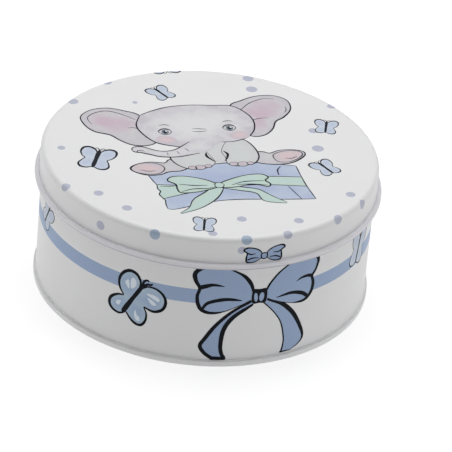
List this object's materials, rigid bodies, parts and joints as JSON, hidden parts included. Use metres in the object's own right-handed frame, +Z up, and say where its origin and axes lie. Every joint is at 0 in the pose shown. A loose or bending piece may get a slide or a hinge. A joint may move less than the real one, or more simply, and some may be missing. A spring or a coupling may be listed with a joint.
{
  "type": "cookie tin",
  "caption": "Round straight-sided food tin with a recessed, double-seamed base and a slip-on lid whose shallow skirt ends in an outward rolled edge.",
  "frame": {"origin": "centre of the flat ring that the tin stands on", "axes": "+Z up along the tin's axis, through the middle of the lid; -Y is the front of the printed decoration, opposite the body's side seam; +X to the right seen from the front"},
  "size_m": [0.1954, 0.1954, 0.082],
  "materials": {
    "lid_tinplate": "white litho coating under gloss varnish",
    "body_tinplate": "white litho coating under gloss varnish",
    "bottom_tinplate": "white lacquered tinplate, semi-gloss"
  },
  "bodies": {
    "tin_body": {"body_wall": "body_tinplate", "bottom_panel": "bottom_tinplate"},
    "lid": {"lid": "lid_tinplate"}
  },
  "joints": [
    {"name": "lid_lift", "type": "slide", "parent": "tin_body", "child": "lid", "axis": [0, 0, 1], "range_m": [0, 0.09]}
  ]
}
